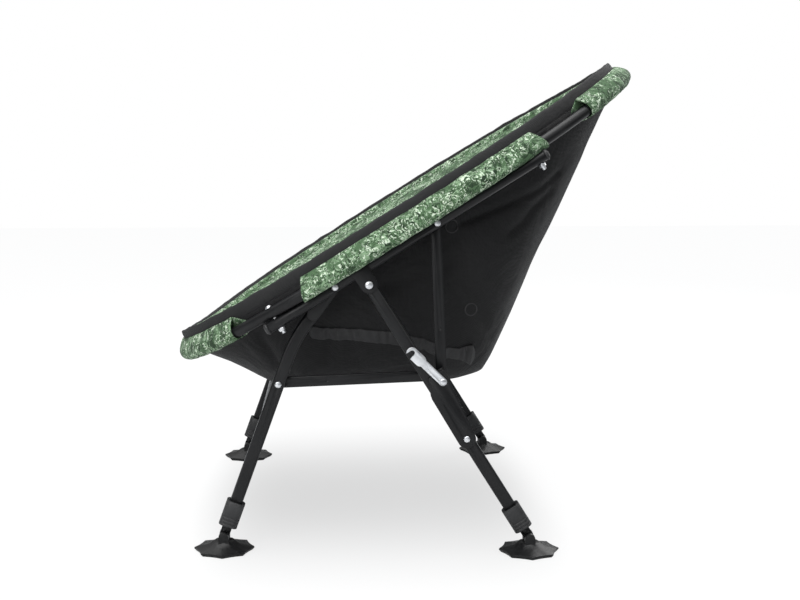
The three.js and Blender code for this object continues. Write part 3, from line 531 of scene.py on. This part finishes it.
def domed_cap(name, middle, way):
    bm = bmesh.new()
    bmesh.ops.create_uvsphere(bm, u_segments=28, v_segments=14, radius=cap_radius)
    for vertex in bm.verts:
        x, y, z = vertex.co
        flat = max(0.0, z) * cap_height / cap_radius - (cap_sunk if z < 0 else 0.0)
        vertex.co = Vector(middle) + Vector((way * flat, x, y))
    bmesh.ops.recalc_face_normals(bm, faces=bm.faces)
    outfit(object_from(bm, name), zinc_plate)


for side, word in ((1, "left"), (-1, "right")):
    for way, face, end in ((side, saddle_outer, "outer"), (-side, saddle_inner, "inner")):
        middle = (side * face, saddle_pin_y, saddle_pin_z)
        domed_cap(f"saddle_rivet_{end}_{word}", middle, way)

# %% [markdown]
# All the cloth hangs from the hoop, so it is drawn on the hoop's own plane: x across, "along" up
# the rails and "above" square to them. The hoop is an egg: half a superellipse for the front and
# a longer half for the back.

# %% The hoop's plane
rail_front = Vector((0.0, -0.200, 0.326))
rail_slope = math.radians(32)
along_direction = Vector((0.0, math.cos(rail_slope), math.sin(rail_slope)))
above_direction = Vector((0.0, -math.sin(rail_slope), math.cos(rail_slope)))
hoop_middle = 0.2255
hoop_rise = 0.0163
hoop_radius = 0.008
half_width, front_reach, rear_reach = 0.332, 0.383, 0.425
front_power, rear_power = 2.5, 2.3
way_step = 0.02


def on_seat(x, offset, above):
    spot = rail_front + along_direction * (hoop_middle + offset) + above_direction * above
    spot.x = x
    return spot


def egg(angle, wide, front, rear):
    c, s = math.cos(angle), math.sin(angle)
    reach, power = (front, 2 / front_power) if c < 0 else (rear, 2 / rear_power)
    return (
        wide * math.copysign(abs(s) ** power, s),
        reach * math.copysign(abs(c) ** power, c),
    )


def hoop_frame(angle):
    """The hoop's centre at an angle, and the way out of it in its own plane."""
    x, offset = egg(angle, half_width, front_reach, rear_reach)
    x0, offset0 = egg(angle - way_step, half_width, front_reach, rear_reach)
    x1, offset1 = egg(angle + way_step, half_width, front_reach, rear_reach)
    run = Vector((x1 - x0, offset1 - offset0)).normalized()
    return x, offset, Vector((-run.y, run.x))


def off_hoop(angle, out_by, up_by):
    """A point beside the hoop's centre line: out of it and above it."""
    x, offset, out_way = hoop_frame(angle)
    return on_seat(x + out_way.x * out_by, offset + out_way.y * out_by, hoop_rise + up_by)


def angle_at(offset):
    reach, power = (front_reach, front_power) if offset < 0 else (rear_reach, rear_power)
    share = min(1.0, abs(offset) / reach) ** (power / 2)
    return math.acos(math.copysign(share, offset))


# %% [markdown]
# A sheet of cloth is made as a flat grid whose points are then moved: s runs across the grid and
# t up it, both from 0 to 1. Points that meet are merged, which closes the seam and the bottom.

# %% Cloth helpers
meeting_reach = 0.00002
sliver_reach = 0.00001
tiny = 0.000001


def moved_grid(name, across, up, shape):
    bm = bmesh.new()
    bmesh.ops.create_grid(bm, x_segments=across, y_segments=up, size=1.0)
    for vertex in bm.verts:
        vertex.co = shape((vertex.co.x + 1) / 2, (vertex.co.y + 1) / 2)
    bmesh.ops.remove_doubles(bm, verts=bm.verts, dist=meeting_reach)
    bmesh.ops.dissolve_degenerate(bm, edges=bm.edges, dist=sliver_reach)
    bmesh.ops.recalc_face_normals(bm, faces=bm.faces)
    return object_from(bm, name)


def full_turn(share):
    """An angle round a closed form; the grid's last share falls on its first."""
    return 2 * math.pi * (share % 1.0)


def thicken(piece, thickness, offset):
    wall = piece.modifiers.new("thickness", "SOLIDIFY")
    wall.thickness = thickness
    wall.offset = offset


def ripple(point, scale, depth):
    return depth * noise.noise(point * scale)


def pulled(point, pulls):
    return sum(ripple(point, scale, depth) for scale, depth in pulls)


# %% [markdown]
# The hoop itself is one bent tube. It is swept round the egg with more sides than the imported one.

# %% Hoop
def hoop_shape(s, t):
    around = full_turn(t)
    out_by, up_by = hoop_radius * math.cos(around), hoop_radius * math.sin(around)
    return off_hoop(full_turn(s), out_by, up_by)


hoop = moved_grid("hoop_tube", across=200, up=24, shape=hoop_shape)
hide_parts("hoop")
outfit(hoop, powder_coat)

# %% [markdown]
# Each sleeve is cloth folded over the hoop and sewn to the liner's edge. From the side it shows
# as a strip about 30 mm high: round below, where the tube fills it, and flat above, so its section
# is a drop. In the photo the near rim stands clear of the hoop and the far one lies on it, so the
# sleeves, the liner's edge and its band do the same here.

# %% The sleeves' section
sleeve_radius, sleeve_wall = 0.0097, 0.0012
sleeve_low, sleeve_high = 0.0102, 0.0205
sleeve_pinch, sleeve_tuck = 0.75, 0.006
standing_half = 0.2


def standing(x):
    """The rim's share of its full height: 1 at the sitter's left and 0 at the right."""
    share = min(1.0, max(0.0, (x + standing_half) / (2 * standing_half)))
    return share * share * (3 - 2 * share)


def drop_section(t, x):
    """A point of the sleeve's section: out of the hoop and above it."""
    sleeve_top = sleeve_low + (sleeve_high - sleeve_low) * standing(x)
    turn = full_turn(t)
    out_by = sleeve_radius * math.cos(turn)
    up_by = sleeve_radius * math.sin(turn)
    if up_by > 0:
        share = up_by / sleeve_radius
        out_by = out_by * (1 - sleeve_pinch * share**2) - sleeve_tuck * share**2
        up_by = sleeve_top * share
    return out_by, up_by


# %% [markdown]
# The section is carried along the hoop. A little noise puts in the pulls of the stitching, the
# side sleeves are cut at a slant, and the two end sleeves run further on their inner face than on
# the outer one.

# %% Sleeves
sleeve_pulls = ((38.0, 0.0010), (90.0, 0.0005))
side_slant = 0.02
end_lip, lip_power = -0.09, 0.7
side_back, side_front = 0.232, -0.158
front_sleeve_end, rear_sleeve_end = -0.2705, 0.3135
side_columns, end_columns, section_rows = 90, 110, 28


def make_sleeve(name, first, last, columns, slant=0.0, lip=0.0):
    def shape(s, t):
        angle = first + (last - first) * s
        out_by, up_by = drop_section(t, hoop_frame(angle)[0])
        inner = max(0.0, -out_by / sleeve_radius) * max(0.0, 1 - abs(up_by) / sleeve_high)
        angle += (slant * up_by / sleeve_high + lip * inner**lip_power) * (1 - 2 * s)
        spot = off_hoop(angle, out_by, up_by)
        pull = pulled(spot, sleeve_pulls)
        sideways = math.copysign(pull, hoop_frame(angle)[0])
        return spot + above_direction * pull + Vector((sideways, 0, 0))

    piece = moved_grid(name, columns, section_rows, shape)
    thicken(piece, sleeve_wall, offset=1.0)
    return outfit(piece, camo_cloth)


first, last = angle_at(side_back), angle_at(side_front)
left_sleeve = make_sleeve("side_sleeve_cloth_left", first, last, side_columns, side_slant)
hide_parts("side_sleeve_left")
right_sleeve = make_sleeve("side_sleeve_cloth_right", -first, -last, side_columns, -side_slant)
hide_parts("side_sleeve_right")
first = angle_at(front_sleeve_end)
last = 2 * math.pi - first
front_sleeve = make_sleeve("front_sleeve_cloth", first, last, end_columns, lip=end_lip)
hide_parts("front_sleeve")
last = angle_at(rear_sleeve_end)
rear_sleeve = make_sleeve("rear_sleeve_cloth", -last, last, end_columns, lip=end_lip)
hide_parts("rear_sleeve")
print("sleeve tops above the hoop's middle", sleeve_high, "left", sleeve_low, "right")

# %% [markdown]
# The bucket is cut from panels but hangs as one shell. Slices parallel to the hoop are eggs too:
# their front follows the leg panel and then the seat, their back runs straight down from the rim,
# and their sides stand nearly square until they turn under.

# %% The bucket's slices
bucket_depth = 0.276
bucket_side = 0.248
front_bend, seat_bend = 0.42 * bucket_depth, 0.923 * bucket_depth
front_along, seat_along, deepest_along = -0.299, -0.071, -0.008
side_power = 2.6
side_drop = 0.012
rim_inset = 0.0083


def stretch(value, low, high, at_low, at_high):
    return at_low + (at_high - at_low) * (value - low) / (high - low)


def slice_reach(depth):
    """Half width, front and back of the bucket's slice at a depth below the hoop."""
    depth = max(0.0, depth)
    if depth < front_bend:
        front = stretch(depth, 0, front_bend, -front_reach + rim_inset, front_along)
    elif depth < seat_bend:
        front = stretch(depth, front_bend, seat_bend, front_along, seat_along)
    else:
        front = stretch(depth, seat_bend, bucket_depth, seat_along, deepest_along)
    rear = stretch(depth, 0, bucket_depth, rear_reach - rim_inset, deepest_along)
    if depth < side_drop:
        wide = stretch(depth, 0, side_drop, half_width - rim_inset, bucket_side)
    else:
        share = min(1.0, (depth - side_drop) / (bucket_depth - side_drop))
        wide = bucket_side * (1 - share**side_power) ** (1 / side_power)
    return wide, front, rear


def bucket_point(angle, depth, inset=0.0, lift=0.0):
    wide, front, rear = slice_reach(depth)
    middle = deepest_along * max(0.0, depth) / bucket_depth
    x, offset = egg(
        angle,
        max(0.0, wide - inset),
        max(0.0, middle - front - inset),
        max(0.0, rear - middle - inset),
    )
    return on_seat(x, middle + offset, hoop_rise - depth + lift)


# %% [markdown]
# The cloth pulls where it is sewn and stretched. Each crease is a line in the side view, given by
# its points in y and z, with a width and a depth: two run from the upper ring stitch up to the
# back edge, a soft one lies under the rail, one is in the leg panel, three are in the seat's side
# and one rises from the back corner to the ring.

# %% Creases
creases = [
    (0.005, 0.0050, [(0.070, 0.467), (0.141, 0.493), (0.191, 0.514), (0.224, 0.539)]),
    (0.006, 0.0050, [(0.150, 0.454), (0.170, 0.469), (0.184, 0.488), (0.213, 0.514)]),
    (0.012, 0.0030, [(-0.060, 0.366), (0.010, 0.392), (0.060, 0.412)]),
    (0.006, 0.0050, [(-0.222, 0.305), (-0.213, 0.284), (-0.196, 0.252)]),
    (0.008, 0.0035, [(-0.118, 0.300), (-0.124, 0.262)]),
    (0.010, 0.0030, [(-0.088, 0.300), (-0.080, 0.262)]),
    (0.009, 0.0035, [(0.028, 0.280), (0.000, 0.250)]),
    (0.010, 0.0030, [(0.120, 0.300), (0.075, 0.400), (0.064, 0.455)]),
]
crease_ends_at = 3


def off_segment(y, z, start, end):
    run = (end[0] - start[0], end[1] - start[1])
    share = ((y - start[0]) * run[0] + (z - start[1]) * run[1]) / (run[0] ** 2 + run[1] ** 2)
    share = min(1.0, max(0.0, share))
    return math.hypot(y - start[0] - share * run[0], z - start[1] - share * run[1])


def creased(y, z):
    total = 0.0
    for width, depth, points in creases:
        nearest = min(off_segment(y, z, a, b) for a, b in zip(points, points[1:]))
        if nearest < crease_ends_at * width:
            total += depth * math.exp(-((nearest / width) ** 2))
    return total


# %% [markdown]
# The bucket's outer face is its slices, drawn in a little by the pulls and the creases. Both fade
# at the rim and at the floor, and the creases also towards the chair's middle. At the rim the
# cloth turns over and drops straight down beside the hoop, as a sewn edge does.

# %% Bucket
rim_low, rim_high = 0.004, 0.018
skin_draw = 0.002
broad_pull, fine_pull = (9.0, 0.0045), (24.0, 0.0018)
broad_pull_shift = Vector((3, 1, 2))
rim_fade, floor_fade, side_fade = 0.05, 0.01, 0.1
inward_probe = 0.01
edge_share, edge_below = 0.035, 0.005
depth_power = 1.6
bucket_wall = 0.002


def rim_stand(x):
    return rim_low + (rim_high - rim_low) * standing(x)


def bucket_skin(angle, depth, out=0.0):
    """A point of the bucket's outer face, with its pulls and creases."""
    rim = rim_stand(bucket_point(angle, 0.0).x)
    lift = max(0.0, rim * (1 - depth / side_drop))
    spot = bucket_point(angle, depth, lift=lift)
    inward = bucket_point(angle, depth, inset=inward_probe, lift=lift) - spot
    if inward.length < tiny:
        return spot
    pull = skin_draw + ripple(spot + broad_pull_shift, *broad_pull) + ripple(spot, *fine_pull)
    fade = min(1.0, depth / rim_fade) * min(1.0, (bucket_depth - depth) / floor_fade)
    dent = creased(spot.y, spot.z) * min(1.0, abs(spot.x) / side_fade)
    return spot + inward.normalized() * ((max(0.0, pull) + dent) * fade - out)


def bucket_shape(s, t):
    angle = full_turn(s)
    if t > edge_share:
        up = (1 - t) / (1 - edge_share)
        return bucket_skin(angle, bucket_depth * (1 - up**depth_power))
    edge = bucket_skin(angle, 0.0)
    return edge - above_direction * (rim_stand(edge.x) + edge_below) * (1 - t / edge_share)


def gives_way(piece):
    """Gives the piece its own copy of its mesh."""
    on_seat(0, 0, hoop_rise)
    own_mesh(piece)


bucket = moved_grid("bucket_cloth", across=260, up=110, shape=bucket_shape)
thicken(bucket, bucket_wall, offset=-1.0)
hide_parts("seat_sling")
outfit(bucket, black_cloth)
gives_way(bucket)
print("bucket", len(bucket.data.polygons), "faces,", bucket_depth, "m deep")

# %% [markdown]
# On each side a gathered hem crosses the bucket where the seat's side panel ends, and it bunches
# up at the back corner. Above it are two stitched rings. All of these lie on the bucket's face, so
# their places are given in y and z and carried onto it.

# %% A place on the bucket's face
shallowest, deepest_share, widest_share = 0.001, 0.995, 0.999


def on_bucket(y, z, side, out):
    run = (y - rail_front.y) * along_direction.y + (z - rail_front.z) * along_direction.z
    above = (y - rail_front.y) * above_direction.y + (z - rail_front.z) * above_direction.z
    depth = min(bucket_depth * deepest_share, max(shallowest, hoop_rise - above))
    _, front, rear = slice_reach(depth)
    middle = deepest_along * depth / bucket_depth
    offset = run - hoop_middle - middle
    reach, power = (middle - front, front_power) if offset < 0 else (rear - middle, rear_power)
    share = min(widest_share, abs(offset) / reach) ** (power / 2)
    angle = math.acos(math.copysign(share, offset))
    return bucket_skin(side * angle, depth, out)


# %% [markdown]
# The hem is a flattened tube along a line of places. Ruffles thicken it at an uneven pitch, its
# upper edge rolls outwards, and it tapers at both ends.

# %% Hem
hem_line = [
    (-0.150, 0.309), (-0.131, 0.305), (-0.094, 0.305), (-0.073, 0.304), (-0.031, 0.300),
    (0.019, 0.288), (0.054, 0.271), (0.082, 0.268), (0.103, 0.262),
]
hem_half_height = 0.0105
hem_thin, hem_ruffled, hem_proud = 0.0022, 0.0036, 0.0012
hem_roll, roll_power = 0.0022, 6
ruffle_pitch, ruffle_evenness = 0.013, 0.6
wander_scale, wander_height, wander_shift = 60, 0.0012, 0.5
bunch_from, bunch_length, bunch_more = 0.84, 0.16, 1.1
front_taper, front_blunt = 0.06, 0.2
back_taper, back_blunt = 0.05, 0.08


def hem_point(share):
    place = share * (len(hem_line) - 1)
    first = min(int(place), len(hem_line) - 2)
    a, b = hem_line[first], hem_line[first + 1]
    part = place - first
    return a[0] + (b[0] - a[0]) * part, a[1] + (b[1] - a[1]) * part


def hem_shape(side):
    def shape(s, t):
        up = math.sin(full_turn(t))
        y, z = hem_point(s)
        bunch = 1 + bunch_more * max(0.0, (s - bunch_from) / bunch_length)
        front_end = min(1.0, s / front_taper + front_blunt)
        size = bunch * front_end * min(1.0, (1 - s) / back_taper + back_blunt)
        wander = noise.noise(Vector((y * wander_scale, z * wander_scale, side)))
        turns = y / ruffle_pitch + wander_shift * wander
        ruffle = 0.5 + 0.5 * math.sin(2 * math.pi * turns)
        ruffle *= ruffle_evenness + (1 - ruffle_evenness) * up
        thick = hem_thin + hem_ruffled * ruffle
        roll = hem_roll * max(0.0, up) ** roll_power
        up_by = hem_half_height * up * size + wander_height * wander
        out_by = (thick * math.cos(full_turn(t)) + hem_proud + roll) * size
        return on_bucket(y, z + up_by, side, out_by)

    return shape


# %% [markdown]
# A ring stitch is a raised round seam, half sunk in the cloth.

# %% Ring stitches, and both sides sewn on
ring_radius, ring_thread, ring_proud = 0.0092, 0.0013, 0.0016
ring_middles = ((0.090, 0.340), (0.059, 0.463))


def ring_shape(side, middle_y, middle_z):
    def shape(s, t):
        around, turn = full_turn(s), full_turn(t)
        reach = ring_radius + ring_thread * math.cos(turn)
        y = middle_y + reach * math.cos(around)
        z = middle_z + reach * math.sin(around)
        return on_bucket(y, z, side, ring_proud + ring_thread * math.sin(turn))

    return shape


sewn_on = []
for side, word in ((1, "left"), (-1, "right")):
    hem = moved_grid(f"bucket_hem_{word}", across=220, up=20, shape=hem_shape(side))
    sewn_on.append(hem)
    for number, (y, z) in enumerate(ring_middles, start=1):
        name = f"ring_stitch_{word}_{number}"
        sewn_on.append(moved_grid(name, across=40, up=8, shape=ring_shape(side, y, z)))
for piece in sewn_on:
    gives_way(outfit(piece, hem_cloth))
print("sewn on the bucket:", [piece.name for piece in sewn_on])

# %% [markdown]
# The liner is a padded quilt that lies in the bucket and rolls over its rim. Its under side
# follows the bucket, and its upper side swells between sewn channels that run across it. It is
# one closed form, drawn from the middle of its under side, round its edge and back to the middle.

# %% Liner sizes
liner_thickness = 0.022
liner_edge_low, liner_edge_high = 0.0090, 0.0325
liner_rise, liner_rise_more = 0.003, 0.009
liner_rim = 0.03
rolled_from, seat_from = 0.35, 0.5
under_floor_share, seat_floor_share = 0.12, 0.2
under_gap, under_power, under_lift = 0.012, 0.7, 0.004
under_inset, under_inset_more = 0.005, 0.0095
rolled_slack = 0.004
seat_gap, seat_power = 0.008, 1.5
channel_pitch, channel_dip, channel_power = 0.062, 0.009, 0.5
square_width, square_power = 0.12, 0.35
swell_middle, lean_power = 0.6, 3
floor_zone, floor_swell = 0.02, 0.25
liner_pull = (30.0, 0.0015)

# %% [markdown]
# The liner's three parts are written one by one. Near the chair's middle its floors are level, so
# their points are drawn in towards the floor's middle, which closes the form.

# %% Liner
def drawn_in(spot, depth, share):
    """A point of a level floor: the ring's point moved in towards the floor's middle."""
    middle = on_seat(0.0, deepest_along * depth / bucket_depth, hoop_rise - depth)
    return middle + (spot - middle) * share


def under_side(angle, rise, part):
    up = max(0.0, part - under_floor_share) / (1 - under_floor_share)
    depth = (bucket_depth - under_gap) * (1 - up) ** under_power
    lift = max(0.0, rise * (1 - depth / liner_rim))
    inset = under_inset + under_inset_more * min(1.0, depth / liner_rim)
    spot = bucket_point(angle, depth, inset=inset, lift=lift)
    spot = drawn_in(spot, depth, min(1.0, part / under_floor_share))
    return spot + above_direction * (under_lift * depth / bucket_depth)


def rolled_edge(angle, rise, top, part):
    turn = math.pi * part
    half = (liner_thickness - rolled_slack) / 2
    inset = under_inset + half - half * math.cos(turn)
    return bucket_point(angle, 0.0, inset=inset, lift=rise + (top - rise) * math.sin(turn))


def quilted_side(angle, rise, part):
    floor_depth = bucket_depth - seat_gap - liner_thickness
    depth = floor_depth * (1 - max(0.0, 1 - part / (1 - seat_floor_share)) ** seat_power)
    lift = max(0.0, rise * (1 - depth / liner_rim))
    flat = bucket_point(angle, depth, inset=liner_thickness, lift=lift)
    flat = drawn_in(flat, depth, min(1.0, (1 - part) / seat_floor_share))
    run = flat.y * math.cos(rail_slope) + flat.z * math.sin(rail_slope)
    seam = abs(math.sin(math.pi * run / channel_pitch)) ** channel_power
    cross = math.sin(math.pi * (flat.x + square_width / 2) / square_width)
    edge = min(1.0, depth / liner_rim)
    edge *= min(1.0, (floor_depth - depth) / floor_zone + floor_swell)
    swell = channel_dip * (seam * abs(cross) ** square_power - swell_middle) * edge
    swell += ripple(flat, *liner_pull) * edge
    inner = bucket_point(angle, depth, inset=liner_thickness + inward_probe, lift=lift)
    way = inner - flat
    way = way.normalized() if way.length > tiny else above_direction
    lean = min(1.0, depth / floor_depth) ** lean_power
    return flat + (way * (1 - lean) + above_direction * lean).normalized() * swell


def liner_shape(s, t):
    angle = full_turn(s)
    stand = standing(bucket_point(angle, 0.0).x)
    rise = liner_rise + liner_rise_more * stand
    if t < rolled_from:
        return under_side(angle, rise, t / rolled_from)
    if t < seat_from:
        top = liner_edge_low + (liner_edge_high - liner_edge_low) * stand
        return rolled_edge(angle, rise, top, (t - rolled_from) / (seat_from - rolled_from))
    return quilted_side(angle, rise, (t - seat_from) / (1 - seat_from))


liner = moved_grid("liner_quilt", across=240, up=220, shape=liner_shape)
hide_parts("seat_pad")
outfit(liner, camo_cloth)
gives_way(liner)
print("liner", len(liner.data.polygons), "faces")

# %% [markdown]
# A black band of folded cloth runs along the liner's outer edge, all the way round. It is soft
# and a little puckered by its stitching.

# %% Edge band
band_low, band_high = 0.0020, 0.0232
band_half_height = 0.0115
band_half_thickness = 0.0028
band_inset = 0.0022
band_pulls = ((42.0, 0.0012), (110.0, 0.0005))


def band_shape(s, t):
    angle, turn = full_turn(s), full_turn(t)
    middle = band_low + (band_high - band_low) * standing(bucket_point(angle, 0.0).x)
    spot = bucket_point(
        angle,
        0.0,
        inset=band_inset - band_half_thickness * math.cos(turn),
        lift=middle + band_half_height * math.sin(turn),
    )
    return spot + above_direction * pulled(spot, band_pulls)


band = moved_grid("liner_edge_band", across=280, up=14, shape=band_shape)
outfit(band, edge_tape)
